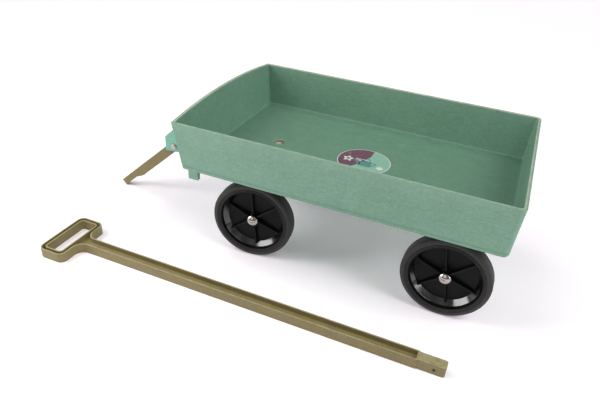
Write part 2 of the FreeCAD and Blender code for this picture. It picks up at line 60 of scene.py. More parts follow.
# ------------------------ sizes of the tub
tub_low, tub_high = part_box("tub")
label_low, label_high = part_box("floor_label")
kingpin_low, kingpin_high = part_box("kingpin_bolt")
screws_low, screws_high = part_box("rear_carrier_screws")
kingpin_x = (kingpin_low.x + kingpin_high.x) / 2
kingpin_hole_r = 4.1 * mm
label_x = (label_low.x + label_high.x) / 2
label_y = (label_low.y + label_high.y) / 2
label_r = (label_high.x - label_low.x) / 2
label_gap = 0.1 * mm  # between the label and the edge of its seat
arch_rise = 12.5 * mm
rim_z = tub_high.z - arch_rise
floor_z = label_high.z
tub_floor = 6.3 * mm
tub_bottom_z = floor_z - tub_floor
tub_half_length = -tub_low.x
tub_half_width = tub_high.y
tub_front_lean = 12.5 * mm
tub_rear_lean = 4.5 * mm
tub_side_lean = 11.0 * mm
tub_wall = 5.5 * mm
front_corner_r = 3.0 * mm
rear_corner_r = 11.0 * mm
front_corner_least_r = 0.6 * mm  # what is left of a corner's radius on the wall's inner side
rear_corner_least_r = 3.0 * mm
rim_outer_r = 1.3 * mm
rim_inner_r = 0.9 * mm
rim_band = 2.4 * mm  # below the rim's top, where its scuffs end
bottom_side_r = 1.4 * mm
bottom_front_r = 5.0 * mm
bottom_rear_r = 4.0 * mm
floor_fillet_r = 4.5 * mm
corner_steps = 8
fillet_steps = 4
side_steps = (24, 16, 24, 40)  # left, rear, right and front wall
wall_rings_at = (0.35, 0.7)  # shares of the wall's height that carry a ring of points

foot_front = 280.0 * mm
foot_length = 21.0 * mm
foot_depth = 9.0 * mm
foot_drop = 17.0 * mm
foot_edge_r = 1.6 * mm

inner_edge_wear_and_highlight = 0.8  # 0 is clean and 1 is fully scuffed; the pale scuff on the rim's inner edge also serves as a painted highlight
outer_edge_wear = 0.06
recess_wear = 0.55
# the handle's pale top edges are partly scuffs and partly a painted highlight
handle_top_wear_and_highlight = 0.5

boss_r = 24.0 * mm
boss_drop = 12.0 * mm
recess_r = 11.5 * mm
recess_z = tub_bottom_z - 6.0 * mm
recess_edge_r = 1.0 * mm
boss_edge_r = 1.0 * mm
steering_stop_r = 6.0 * mm
steering_stop_drop = 22.0 * mm
steering_stop_reach = 110.0 * mm
steering_stop_angle = math.radians(41.06)
rear_pad_r = 8.0 * mm
rear_pad_drop = 12.0 * mm
peg_edge_r = 0.8 * mm
screw_head_r = 4.6 * mm
into_floor = 3.0 * mm  # how far a boss or foot runs up into the floor it stands on
foot_end_r = 0.9 * mm

# ------------------------ sizes of the wheels
tyre_low, tyre_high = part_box("rear_left_tyre")
wheel_r = (tyre_high.z - tyre_low.z) / 2
tyre_half = (tyre_high.y - tyre_low.y) / 2
tyre_seat_r = 65.0 * mm
tyre_rim_gap = 0.03 * mm
tyre_bulge = 1.0 * mm  # how far the sides stand out beyond the tread's and the rim's edges
tyre_shoulder_r = 6.0 * mm
tyre_widest_r = wheel_r - 9.6 * mm
tyre_inner_shoulder_r = 4.0 * mm
tyre_side_curve = 2.2 * mm  # beyond its widest radius, where the outer side starts to curve back
tyre_side_curve_r = 3.0 * mm
tyre_side_drop = 0.05 * mm
tyre_seat_edge_r = 0.6 * mm
tyre_groove_rs = (70.2 * mm, 67.3 * mm)
tyre_groove_depth = 1.4 * mm
tyre_groove_width = 2.1 * mm
tyre_bead_foot = 0.3 * mm  # how far the tyre goes down beside the rim
tyre_bead = ((66.6, 0.0), (66.1, 0.25), (65.5, 0.2))  # radius and height of the ring at the rim, in mm
mould_mark_r = 1.5 * mm
mould_mark_half_height = 0.6 * mm
mould_mark_edge_r = 0.3 * mm
mould_mark_depth = 0.9 * mm  # from the tyre's side down to the mark's middle
mould_mark_place_r = 68.6 * mm
mould_mark_angles = (0.55, 2.05)
rim_lip = 1.5 * mm
rim_lip_width = 1.5 * mm
rim_barrel = 3.0 * mm
web_r = 54.0 * mm
web_depth = 16.5 * mm
web_thickness = 4.0 * mm
lip_y = tyre_half - rim_lip
web_y = lip_y - web_depth
dish_bend_r = 62.4 * mm  # where the dish turns from its steep lip to its sloping ring
dish_bend_height = 10.0 * mm
dish_from_web = 0.3 * mm  # the dish's shinier finish starts this far above the web
dish_from_lip = 0.9 * mm  # and ends this far below the lip
hub_r = 10.0 * mm
hub_outer_depth = 4.5 * mm
hub_inner_stand = 1.5 * mm
axle_r = 5.05 * mm
rib_count = 6
rib_thickness = 3.6 * mm
rib_hub_height = 9.0 * mm
rib_rim_height = 5.0 * mm
rib_edge = 0.7 * mm
rib_root_spread = 0.35 * mm
rib_flat_share = 0.62  # of the rib's thickness, left flat along its top
rib_overlap = 1.0 * mm  # how far a rib runs into the hub and the dish
wheel_turn = {"rear": math.radians(10.0), "front": math.radians(6.0)}
cap_r = 11.0 * mm
cap_skirt = 3.5 * mm
cap_dome = 5.5 * mm
cap_dome_steps = 12
cap_thickness = 0.7 * mm
cap_roll = 0.8 * mm  # height over which the cap's edge rolls in
cap_cone = 1.5 * mm  # how far the inside rises round the bore, above the skirt
cap_bore_depth = 5.5 * mm
cap_bore_gap = 0.1 * mm
cap_bore_wall = 1.4 * mm
cap_height = 11.0 * mm  # the whole height of the CAD cap

# ------------------------ sizes of the handle
handle_low, handle_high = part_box("handle")
handle_y = (handle_low.y + handle_high.y) / 2
handle_length = handle_high.x - handle_low.x
handle_height = handle_high.z - handle_low.z
handle_wall = 3.0 * mm
web_top_z = 10.5 * mm
web_bottom_z = 7.5 * mm
shaft_width = 23.0 * mm
socket_block = 46.0 * mm
block_width = 20.0 * mm
block_height = 20.0 * mm
block_corner_r = 4.0 * mm
block_edge = 0.8 * mm
block_overlap = 1.5 * mm  # how far the block runs into the shaft
shaft_start_r = 1.5 * mm
shaft_start_least_r = 0.4 * mm
grip_width = handle_high.y - handle_low.y
grip_length = 58.0 * mm
grip_corner_r = 14.0 * mm
grip_shoulder_r = 18.0 * mm
grip_groove = 5.0 * mm
grip_ring_corner_r = 8.0 * mm
grip_ring_least_r = 2.0 * mm
handle_edge_r = 0.7 * mm
web_fillet_r = 1.5 * mm
mid_arc = 0.3  # how far a quarter circle's middle stands in, as a share of its radius
nib_r = 1.1 * mm
nib_drop = 0.4 * mm  # below the tops of the walls
nib_edge_r = 0.1 * mm
cut_past = 1.0 * mm  # how far a cut starts before the face it opens
tongue_half = 7.7 * mm
tongue_depth = 45.0 * mm
socket_z = (2.4 * mm, 17.6 * mm)
cross_hole_from_end = 18.5 * mm
cross_hole_r = 2.5 * mm
collar_r = 3.4 * mm
collar_stand = 0.7 * mm
collar_edge = 0.4 * mm

# ------------------------ rounding of the pieces kept from CAD
moulded_edge = 0.7 * mm
slip_edge = 0.3 * mm
metal_edge = 0.35 * mm
bolt_head_edge = 0.9 * mm
bevelled_from = math.radians(34)  # the least angle between two faces whose edge gets rounded


# ------------------------ material nodes
class Graph:
    """A material's node tree: each call adds a node and gives back its output socket."""

    def __init__(self, name, **shader):
        self.material = bpy.data.materials.new(name)
        self.material.use_nodes = True
        self.tree = self.material.node_tree
        self.tree.nodes.clear()
        output = self.tree.nodes.new("ShaderNodeOutputMaterial")
        self.shader = self.tree.nodes.new("ShaderNodeBsdfPrincipled")
        self.tree.links.new(self.shader.outputs[0], output.inputs[0])
        for socket, value in shader.items():
            self.shader.inputs[socket.replace("_", " ")].default_value = value
        place = self.tree.nodes.new("ShaderNodeTexCoord")
        self.place = place.outputs["Object"]

    def add(self, kind, values, output=0, **settings):
        made = self.tree.nodes.new("ShaderNode" + kind)
        for setting, value in settings.items():
            setattr(made, setting, value)
        for socket, value in values.items():
            self.feed(made.inputs[socket], value)
        return made.outputs[output]

    def feed(self, socket, value):
        if isinstance(value, bpy.types.NodeSocket):
            self.tree.links.new(value, socket)
        else:
            socket.default_value = value

    def set(self, socket, value):
        self.feed(self.shader.inputs[socket], value)

    def moved(self, turn=(0, 0, 0), stretch=(1, 1, 1)):
        """The object's own coordinates, turned by angles in radians and stretched."""
        values = {"Vector": self.place, "Rotation": turn, "Scale": stretch}
        return self.add("Mapping", values)

    def noise(self, scale, detail=3.0, roughness=0.5, place=None, distortion=0.0):
        """Cloudy values round 0.5, with about scale patches per metre."""
        values = {"Vector": place or self.place, "Scale": scale, "Detail": detail}
        values["Roughness"] = roughness
        values["Distortion"] = distortion
        return self.add("TexNoise", values)

    def remap(self, value, low, high, to_low=0.0, to_high=1.0):
        """Takes low to to_low and high to to_high, and holds those values beyond them."""
        values = {"Value": value, "From Min": low, "From Max": high, "To Min": to_low, "To Max": to_high}
        return self.add("MapRange", values)

    def times(self, a, b):
        return self.add("Math", {0: a, 1: b}, operation="MULTIPLY")

    def minus(self, a, b):
        return self.add("Math", {0: a, 1: b}, operation="SUBTRACT")

    def mix(self, share, a, b):
        """Goes from colour a to colour b; the node's sockets 6, 7 and output 2 are the ones for colours."""
        values = {0: share, 6: opaque(a), 7: opaque(b)}
        return self.add("Mix", values, output=2, data_type="RGBA")

    def axis(self, name):
        return self.add("SeparateXYZ", {0: self.place}, output="XYZ".index(name))

    def attribute(self, name):
        made = self.tree.nodes.new("ShaderNodeAttribute")
        made.attribute_name = name
        return made.outputs["Fac"]

    def bump(self, height, strength, distance, normal=None):
        """Bends the surface's direction as if the height stood out by up to distance."""
        values = {"Height": height, "Strength": strength, "Distance": distance}
        if normal is not None:
            values["Normal"] = normal
        return self.add("Bump", values)


def opaque(colour):
    if isinstance(colour, bpy.types.NodeSocket):
        return colour
    return (*colour, 1.0)


def moulded_plastic(name, base, light, dark, streak_turn, scuff_and_highlight, gloss=(0.42, 0.62)):
    """Fibre-filled plastic: cloudy colour, faint flow streaks, fine flecks, and scuffed edges, whose pale colour
    is partly a painted highlight.
    """
    g = Graph(name)
    cloud = g.remap(g.noise(11.0, 4.0, 0.6, distortion=0.6), 0.42, 0.60)
    mottle = g.remap(g.noise(260.0, 5.0, 0.62), 0.34, 0.66)
    streaks = g.noise(1.0, 4.0, 0.6, g.moved(streak_turn, (55, 55, 420)))
    flecks = g.remap(g.noise(1500.0, 2.0, 0.6), 0.58, 0.72)
    colour = g.mix(g.times(cloud, 0.40), base, dark)
    colour = g.mix(g.times(mottle, 0.60), colour, light)
    colour = g.mix(g.times(g.remap(streaks, 0.42, 0.70), 0.38), colour, dark)
    colour = g.mix(g.times(flecks, 0.3), colour, light)
    # the scuff colour on the marked edges is partly real scuffing and partly a painted highlight
    wear_and_highlight = g.times(g.attribute("wear_and_highlight"), g.remap(g.noise(120.0, 4.0, 0.7), 0.3, 0.6, 0.25, 1.0))
    colour = g.mix(wear_and_highlight, colour, scuff_and_highlight)
    g.set("Base Color", colour)
    roughness = g.remap(g.noise(40.0, 5.0, 0.6), 0.3, 0.7, *gloss)
    g.set("Roughness", roughness)
    orange_peel = g.bump(g.noise(420.0, 3.0), 0.18, 0.6 * mm)
    g.set("Normal", g.bump(g.noise(2600.0, 2.0), 0.12, 0.2 * mm, orange_peel))
    return g


def tub_material():
    # the pale scuff colour marks the rim's worn edges and also paints the highlight along them
    g = moulded_plastic("tub_plastic", base=(0.138, 0.280, 0.194), light=(0.215, 0.365, 0.270),
                        dark=(0.096, 0.216, 0.143), streak_turn=(0.0, 0.55, 0.2), scuff_and_highlight=(0.50, 0.53, 0.41))
    # the floor inside is painted darker as shade and carries faint pale scuffs that run along the cart
    height = g.minus(g.axis("Z"), floor_z)
    on_floor = g.remap(height, 0.5 * mm, 4.0 * mm, 1.0, 0.0)
    above = g.remap(height, -0.8 * mm, -0.2 * mm)
    floor_share = g.times(on_floor, above)
    # painted shade: the floor's colour is mixed towards a darker green
    floor_painted_shade = g.mix(g.times(floor_share, 0.45), g.shader.inputs["Base Color"].links[0].from_socket,
                 (0.064, 0.143, 0.088))
    scratches = g.noise(1.0, 6.0, 0.65, g.moved((0, 0, 0.5), (26, 120, 60)))
    patches = g.remap(g.noise(11.0, 3.0), 0.48, 0.66)
    scuffs = g.times(g.remap(scratches, 0.52, 0.72), patches)
    scuffs = g.times(g.times(scuffs, floor_share), 0.18)
    g.set("Base Color", g.mix(scuffs, floor_painted_shade, (0.30, 0.45, 0.35)))
    return g.material


def carrier_material():
    return moulded_plastic("carrier_plastic", base=(0.155, 0.400, 0.310), light=(0.260, 0.520, 0.410),
                           dark=(0.115, 0.320, 0.240), streak_turn=(0.3, 0.2, 0.1),
                           scuff_and_highlight=(0.40, 0.52, 0.46)).material


def handle_material():
    # the pale scuff colour on the top edges is partly wear and partly a painted highlight
    g = moulded_plastic("handle_plastic", base=(0.186, 0.148, 0.054), light=(0.240, 0.198, 0.080),
                        dark=(0.122, 0.098, 0.034), streak_turn=(0.0, 1.35, 0.0), scuff_and_highlight=(0.44, 0.40, 0.24))
    return g.material


def rubber_material():
    g = Graph("tyre_rubber", Specular_IOR_Level=0.35)
    dust = g.remap(g.noise(30.0, 5.0, 0.65), 0.42, 0.75)
    fine = g.remap(g.noise(900.0, 3.0), 0.4, 0.7)
    colour = g.mix(g.times(dust, 0.5), (0.0240, 0.0236, 0.0226), (0.056, 0.055, 0.051))
    g.set("Base Color", g.mix(g.times(fine, 0.35), colour, (0.036, 0.035, 0.033)))
    g.set("Roughness", g.remap(g.noise(60.0, 4.0), 0.3, 0.7, 0.52, 0.72))
    g.set("Normal", g.bump(g.noise(1800.0, 3.0), 0.2, 0.2 * mm))
    return g.material


def wheel_material(name, base, haze_colour, gloss, specular):
    g = Graph(name, Specular_IOR_Level=specular)
    haze = g.remap(g.noise(45.0, 5.0, 0.7), 0.4, 0.7)
    g.set("Base Color", g.mix(g.times(haze, 0.5), base, haze_colour))
    g.set("Roughness", g.remap(g.noise(70.0, 5.0, 0.65), 0.35, 0.7, *gloss))
    waves = g.bump(g.noise(40.0, 2.0), 0.05, 1.0 * mm)
    g.set("Normal", g.bump(g.noise(1500.0, 2.0), 0.04, 0.2 * mm, waves))
    return g.material


def metal_material(name, base, tint, gloss, dimple):
    g = Graph(name, Metallic=1.0)
    stain = g.remap(g.noise(130.0, 4.0, 0.6), 0.35, 0.7)
    g.set("Base Color", g.mix(g.times(stain, 0.6), base, tint))
    g.set("Roughness", g.remap(g.noise(320.0, 4.0), 0.3, 0.7, *gloss))
    g.set("Normal", g.bump(g.noise(240.0, 3.0), dimple, 0.2 * mm))
    return g.material


def nylon_material():
    g = Graph("slip_plastic", Subsurface_Weight=0.05)
    cloud = g.remap(g.noise(60.0, 3.0), 0.35, 0.7)
    g.set("Base Color", g.mix(cloud, (0.62, 0.61, 0.57), (0.50, 0.49, 0.45)))
    g.set("Roughness", g.remap(g.noise(180.0, 3.0), 0.3, 0.7, 0.35, 0.5))
    g.set("Normal", g.bump(g.noise(900.0, 2.0), 0.08, 0.2 * mm))
    return g.material


def film_material(name, base, shade):
    """Printed film: a faint print grain and small rubbed spots."""
    g = Graph(name, Coat_Weight=0.15, Coat_Roughness=0.3)
    grain = g.remap(g.noise(700.0, 3.0, 0.6), 0.35, 0.7)
    rubbed = g.remap(g.noise(90.0, 5.0, 0.7), 0.60, 0.72)
    colour = g.mix(g.times(grain, 0.5), base, shade)
    g.set("Base Color", g.mix(g.times(rubbed, 0.4), colour, (0.55, 0.56, 0.52)))
    g.set("Roughness", g.remap(g.noise(150.0, 4.0), 0.3, 0.7, 0.32, 0.5))
    return g.material


# ------------------------ mesh helpers
def rounded(corners, radii, steps):
    """Closed outline through 2-D corners; radii[i] rounds corner i with an arc of steps pieces."""
    outline = []
    for i, corner in enumerate(corners):
        point = Vector(corner)
        if radii[i] <= 0:
            outline.append(point)
            continue
        back = (Vector(corners[i - 1]) - point).normalized()
        ahead = (Vector(corners[(i + 1) % len(corners)]) - point).normalized()
        half = back.angle(ahead) / 2
        centre = point + (back + ahead).normalized() * radii[i] / math.sin(half)
        start = point + back * radii[i] / math.tan(half) - centre
        end = point + ahead * radii[i] / math.tan(half) - centre
        sweep = start.angle_signed(end)
        for step in range(steps + 1):
            turn = -sweep * step / steps
            outline.append(centre + Matrix.Rotation(turn, 2) @ start)
    return outline


def skin(rings, closed=False, cap_start=False, cap_end=False, bm=None):
    """Faces between successive rings of the same number of points."""
    bm = bm or bmesh.new()
    made = [[bm.verts.new(point) for point in ring] for ring in rings]
    pairs = list(zip(made, made[1:]))
    if closed:
        pairs.append((made[-1], made[0]))
    for a, b in pairs:
        for i in range(len(a)):
            j = (i + 1) % len(a)
            bm.faces.new((a[i], a[j], b[j], b[i]))
    if cap_start:
        bm.faces.new(made[0])
    if cap_end:
        bm.faces.new(made[-1])
    return bm, made


def stacked(outlines, heights):
    """Upright solid through 2-D outlines at the given heights."""
    rings = [[Vector((*point, z)) for point in outline] for outline, z in zip(outlines, heights)]
    return skin(rings, cap_start=True, cap_end=True)[0]


def lathe(profile, steps=144):
    """The closed (radius, y) profile turned about the Y axis."""
    rings = []
    for step in range(steps):
        angle = math.tau * step / steps
        rings.append([Vector((r * math.sin(angle), y, r * math.cos(angle))) for r, y in profile])
    bm, _ = skin(rings, closed=True)
    bmesh.ops.remove_doubles(bm, verts=bm.verts, dist=1e-7)
    return bm


def peg(outline, z0, z1, edge_r):
    """Upright solid over a closed 2-D outline about its own centre, with its lower edge rounded."""
    centre = sum(outline, Vector((0, 0))) / len(outline)
    rings = []
    for step in range(fillet_steps + 1):
        angle = math.pi / 2 * step / fillet_steps
        inset = edge_r * (1 - math.sin(angle))
        z = z0 + edge_r * (1 - math.cos(angle))
        rings.append([shifted(point, centre, inset, z) for point in outline])
    rings.append([Vector((*point, z1)) for point in outline])
    return skin(rings, cap_start=True, cap_end=True)[0]


def shifted(point, centre, inset, z):
    """The 2-D point moved towards the centre by inset, at height z."""
    away = point - centre
    return Vector((*(centre + away * (1 - inset / away.length)), z))


def circle(x, y, radius, steps):
    return [Vector((x + radius * math.cos(math.tau * i / steps), y + radius * math.sin(math.tau * i / steps)))
            for i in range(steps)]


def rectangle(x0, x1, y0, y1, radius, steps=4):
    return rounded([(x0, y0), (x1, y0), (x1, y1), (x0, y1)], [radius] * 4, steps)


def build(name, bm, *materials):
    """Turns the bmesh into an object of the scene."""
    bmesh.ops.recalc_face_normals(bm, faces=bm.faces)
    mesh = bpy.data.meshes.new(name)
    bm.to_mesh(mesh)
    bm.free()
    made = bpy.data.objects.new(name, mesh)
    bpy.context.scene.collection.objects.link(made)
    for material in materials:
        mesh.materials.append(material)
    return made


def combine(target, bm, operation):
    """Joins a solid to the target or cuts it out, and leaves one plain mesh."""
    tool = build("tool", bm)
    modifier = target.modifiers.new("combine", "BOOLEAN")
    modifier.operation = operation
    modifier.solver = "EXACT"
    modifier.object = tool
    bpy.context.view_layer.update()
    depsgraph = bpy.context.evaluated_depsgraph_get()
    mesh = bpy.data.meshes.new_from_object(target.evaluated_get(depsgraph))
    target.modifiers.clear()
    target.data = mesh
    bpy.data.objects.remove(tool)


def finish_edges(made, angle=35.0):
    """Smooth shading across the rounded edges, with flat faces kept flat."""
    made.data.shade_smooth()
    made.data.set_sharp_from_angle(angle=math.radians(angle))
    weighted = made.modifiers.new("weighted_normals", "WEIGHTED_NORMAL")
    weighted.keep_sharp = True
    return made


def stands_for(made, *nodes):
    """The piece moves with the nodes' body and takes their place."""
    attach(made, body_of[nodes[0]])
    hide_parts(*nodes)
    return made


def mark_wear_and_highlight(mesh, amount):
    """Stores how scuffed each point is, with the painted highlight that goes with the scuff, from 0 to 1, for the
    plastic's colour.
    """
    wear_and_highlight = mesh.attributes.new("wear_and_highlight", "FLOAT", "POINT")
    for i, vertex in enumerate(mesh.vertices):
        wear_and_highlight.data[i].value = amount(vertex.co)


def softened(node, material, edge):
    """A CAD node's own shape with its sharp edges rounded off."""
    bm = bmesh.new()
    bm.from_mesh(frame["nodes"][node].data)
    bmesh.ops.remove_doubles(bm, verts=bm.verts, dist=1e-6)
    bmesh.ops.dissolve_limit(bm, angle_limit=math.radians(1.0), verts=bm.verts, edges=bm.edges)
    sharp = [e for e in bm.edges if len(e.link_faces) == 2 and e.calc_face_angle() > bevelled_from]
    bmesh.ops.bevel(bm, geom=sharp, offset=edge, offset_type="OFFSET", segments=2, profile=0.6,
                    affect="EDGES", clamp_overlap=True)
    bmesh.ops.remove_doubles(bm, verts=bm.verts, dist=1e-7)
    made = build(node + "_piece", bm, material)
    finish_edges(made, angle=50.0)
    return stands_for(made, node)


# ------------------------ tub
def arch(y):
    """How far the front wall's top stands above the rim, at y."""
    half = tub_half_width - tub_wall
    if abs(y) >= half:
        return 0.0
    radius = (half ** 2 + arch_rise ** 2) / (2 * arch_rise)
    return math.sqrt(radius ** 2 - y ** 2) - radius + arch_rise


def tub_stations():
    """Places round the tub's outline: a corner's number and the share of its arc, or of the wall after it."""
    stations = []
    for corner in range(4):
        stations += [("corner", corner, step / corner_steps) for step in range(corner_steps + 1)]
        stations += [("wall", corner, step / side_steps[corner]) for step in range(1, side_steps[corner])]
    return stations


def corner_point(corner, share, z, inset):
    """Point on a corner's arc; corners 0 to 3 are front left, rear left, rear right and front right."""
    down = (rim_z - z) / (rim_z - tub_bottom_z)
    at_front = corner in (0, 3)
    sign_y = 1 if corner in (0, 1) else -1
    if at_front:
        x = tub_half_length - tub_front_lean * down - inset
        radius = max(front_corner_r - inset / 2, front_corner_least_r)
        centre_x = x - radius
    else:
        x = -tub_half_length + tub_rear_lean * down + inset
        radius = max(rear_corner_r - inset, rear_corner_least_r)
        centre_x = x + radius
    half = tub_half_width - tub_side_lean * down - inset
    angle = math.pi / 2 * (corner + share)
    centre_y = sign_y * (half - radius)
    return Vector((centre_x + radius * math.cos(angle), centre_y + radius * math.sin(angle), z))


def tub_point(station, z, inset):
    """Point of the outline at height z, moved inwards by inset."""
    kind, corner, share = station
    if kind == "corner":
        return corner_point(corner, share, z, inset)
    start = corner_point(corner, 1.0, z, inset)
    end = corner_point((corner + 1) % 4, 0.0, z, inset)
    return start.lerp(end, share)


def facing(station):
    """Direction that the outline faces at a station, as an angle."""
    kind, corner, share = station
    return math.pi / 2 * (corner + (share if kind == "corner" else 1.0))


def top_at(station):
    """Height of the wall's top."""
    at_rim = tub_point(station, rim_z, 0.0)
    return rim_z + (arch(at_rim.y) if at_rim.x > 0 else 0.0)


def bottom_r(station):
    """Radius between the wall and the underside."""
    across, along = math.sin(facing(station)), math.cos(facing(station))
    end_r = bottom_front_r if along > 0 else bottom_rear_r
    return bottom_side_r * across ** 2 + end_r * along ** 2


def tub_shell():
    """Skin of the open box, ringed from the underside up over the rim and down to the floor."""
    stations = tub_stations()
    rings = []

    def ring(height, inset):
        rings.append([tub_point(s, height(s), inset(s)) for s in stations])

    quarter = [math.pi / 2 * step / fillet_steps for step in range(fillet_steps + 1)]
    for a in quarter:
        ring(lambda s: tub_bottom_z + bottom_r(s) * (1 - math.cos(a)),
             lambda s: bottom_r(s) * (1 - math.sin(a)))
    for share in wall_rings_at:
        ring(lambda s: tub_bottom_z + share * (top_at(s) - tub_bottom_z), lambda s: 0.0)
    ring(lambda s: top_at(s) - rim_band, lambda s: 0.0)
    for a in quarter:
        ring(lambda s: top_at(s) - rim_outer_r * (1 - math.sin(a)),
             lambda s: rim_outer_r * (1 - math.cos(a)))
    for a in reversed(quarter):
        ring(lambda s: top_at(s) - rim_inner_r * (1 - math.sin(a)),
             lambda s: tub_wall - rim_inner_r * (1 - math.cos(a)))
    ring(lambda s: top_at(s) - rim_band, lambda s: tub_wall)
    for share in reversed(wall_rings_at):
        ring(lambda s: floor_z + share * (top_at(s) - floor_z), lambda s: tub_wall)
    for a in quarter:
        ring(lambda s: floor_z + floor_fillet_r * (1 - math.sin(a)),
             lambda s: tub_wall + floor_fillet_r * (1 - math.cos(a)))
    return skin(rings, cap_start=True, cap_end=True)[0]


def under_floor_bits():
    """Boss, steering stops, rear pads and front feet, each a solid that runs up into the floor."""
    top = tub_bottom_z + into_floor
    yield peg(circle(kingpin_x, 0, boss_r, steps=72), tub_bottom_z - boss_drop, top, boss_edge_r)
    for side in (1, -1):
        x = kingpin_x + steering_stop_reach * math.cos(steering_stop_angle)
        y = side * steering_stop_reach * math.sin(steering_stop_angle)
        yield peg(circle(x, y, steering_stop_r, steps=32), tub_bottom_z - steering_stop_drop, top, peg_edge_r)
        half = side * (tub_half_width - tub_side_lean)
        inner = half - side * foot_depth
        foot = rectangle(foot_front - foot_length, foot_front, min(half, inner), max(half, inner),
                         foot_edge_r)
        yield peg(foot, tub_bottom_z - foot_drop, top, foot_end_r)
    for x in (screws_low.x + screw_head_r, screws_high.x - screw_head_r):
        for y in (screws_low.y + screw_head_r, screws_high.y - screw_head_r):
            yield peg(circle(x, y, rear_pad_r, steps=40), tub_bottom_z - rear_pad_drop, top, peg_edge_r)


def make_tub(material):
    tub = build("tub_shell", tub_shell(), material)
    for bit in under_floor_bits():
        combine(tub, bit, "UNION")
    inside = circle(kingpin_x, 0, recess_r, steps=72)
    mouth = circle(kingpin_x, 0, recess_r + recess_edge_r, steps=72)
    heights = (recess_z, floor_z - recess_edge_r, floor_z, tub_high.z)
    combine(tub, stacked((inside, inside, mouth, mouth), heights), "DIFFERENCE")
    bore = circle(kingpin_x, 0, kingpin_hole_r, steps=32)
    combine(tub, stacked((bore, bore), (recess_z - 2 * boss_drop, floor_z)), "DIFFERENCE")
    seat = circle(label_x, label_y, label_r + label_gap, steps=128)
    combine(tub, stacked((seat, seat), (label_low.z, tub_high.z)), "DIFFERENCE")
    mark_wear_and_highlight(tub.data, tub_wear_and_highlight)
    finish_edges(tub)
    stands_for(tub, "tub")


def tub_wear_and_highlight(point):
    """Scuffed along the inner edge of the rim, where the pale scuff also paints a highlight, and a little on the
    outer one and round the recess.
    """
    top = rim_z + (arch(point.y) if point.x > tub_half_length - 3 * tub_wall else 0.0)
    if point.z > top - 2 * rim_outer_r:
        down = (rim_z - point.z) / (rim_z - tub_bottom_z)
        from_side = tub_half_width - tub_side_lean * down - abs(point.y)
        from_front = tub_half_length - tub_front_lean * down - point.x
        from_rear = tub_half_length - tub_rear_lean * down + point.x
        depth = min(from_side, from_front, from_rear)
        on_inner_edge = point.z > top - 1.2 * rim_inner_r and depth > tub_wall - 1.5 * rim_inner_r
        return inner_edge_wear_and_highlight if on_inner_edge else outer_edge_wear
    from_recess = math.hypot(point.x - kingpin_x, point.y) - recess_r
    below_floor = floor_z - point.z
    at_recess = abs(from_recess) < 2 * recess_edge_r and 0.1 * recess_edge_r < below_floor < 2 * recess_edge_r
    return recess_wear if at_recess else 0.0


# ------------------------ label on the floor
# It is drawn in millimetres about its centre, u to the right and v upwards as read from the cart's left side.
label_border = 1.6
ink_height = 0.03  # from one printed layer to the next
label_levels = 3
plum_arc = (82, 240)  # degrees, where the plum half meets the panel's edge
plum_arc_steps = 48
wave = ((-13, -24), (-4, -8), (4, 2), (2, 12), (7, 24))  # between the plum and the mint half
blossom_at = (-32, -1)
petal_count = 5


def disc_rings(centre, outline, z0, z1, edge):
    """Rings of a thin plate over the outline, with its upper edge cut back."""
    inner = [centre.xy + (p - centre.xy) * (1 - edge / (p - centre.xy).length) for p in outline]
    return [[Vector((*p, z0)) for p in outline], [Vector((*p, z1 - edge)) for p in outline],
            [Vector((*p, z1)) for p in inner]]


def make_label(materials):
    """Plain two-coloured round label with a blossom and a watering can, in a thin pale border."""
    pale, plum, mint, teal = range(4)
    bm = bmesh.new()
    used = 0

    def layer(outline, level, material_index):
        nonlocal used
        middle = sum(outline, Vector((0, 0))) / len(outline)
        points = [Vector((label_x - p.x * mm, label_y - p.y * mm)) for p in outline]
        about = Vector((label_x - middle.x * mm, label_y - middle.y * mm, 0))
        top = label_high.z - (label_levels - level) * ink_height * mm
        rings = disc_rings(about, points, label_low.z, top, ink_height * mm / 2)
        skin(rings, cap_start=True, cap_end=True, bm=bm)
        bm.faces.ensure_lookup_table()
        for face in bm.faces[used:]:
            face.material_index = material_index
        used = len(bm.faces)

    layer(circle(0, 0, label_r / mm, steps=128), 0, pale)
    panel_r = label_r / mm - label_border
    layer(circle(0, 0, panel_r, steps=128), 1, mint)
    start, end = (math.radians(angle) for angle in plum_arc)
    turns = [start + (end - start) * step / plum_arc_steps for step in range(plum_arc_steps + 1)]
    arc = [Vector((panel_r * math.cos(a), panel_r * math.sin(a))) for a in turns]
    layer(arc + [Vector(p) for p in wave], 2, plum)
    # a pale blossom and its stem, with small leaves on both sides
    blossom = Vector(blossom_at)
    for k in range(petal_count):
        layer(leaf(blossom, 11.5, 7.0, math.tau * (k / petal_count + 0.05)), 3, pale)
    layer(circle(*blossom_at, 2.6, steps=24), 3, plum)
    layer(leaf(blossom + Vector((9, 2)), 36.0, 1.6, 0.12), 3, pale)
    for k in range(4):
        root = Vector((-19 + 6.5 * k, 2 + 0.8 * k))
        for turn in (0.85, -0.55):
            layer(leaf(root, 9.0 - 1.0 * k, 2.8, turn), 3, pale)
    # a watering can: body, spout, handle and the hoop over its opening
    layer(rounded([(-8, -20), (18, -20), (15, 4), (-5, 4)], [3, 3, 2, 2], 6), 3, teal)
    layer(rounded([(-24, 2), (-20, 5), (-4, -10), (-6, -17)], [1, 1, 1, 1], 3), 3, teal)
    layer(rounded([(14, -1), (24, 2), (27, -6), (17, -17), (16, -13.5), (23.5, -6), (22, -1.5), (14.5, -4)],
                  [0.5, 3, 3, 0.5, 0.5, 2, 2, 0.5], 5), 3, teal)
    layer(rounded([(-2, 6), (2, 14), (9, 14), (13, 6), (10.5, 6), (7.6, 11.5), (3.4, 11.5), (0.5, 6)],
                  [0.4, 2, 2, 0.4, 0.4, 1, 1, 0.4], 5), 3, teal)
    # a plain dot
    layer(circle(36, -14, 6.5, steps=32), 3, pale)
    label = build("label_film", bm, *materials)
    finish_edges(label)
    stands_for(label, "floor_label")


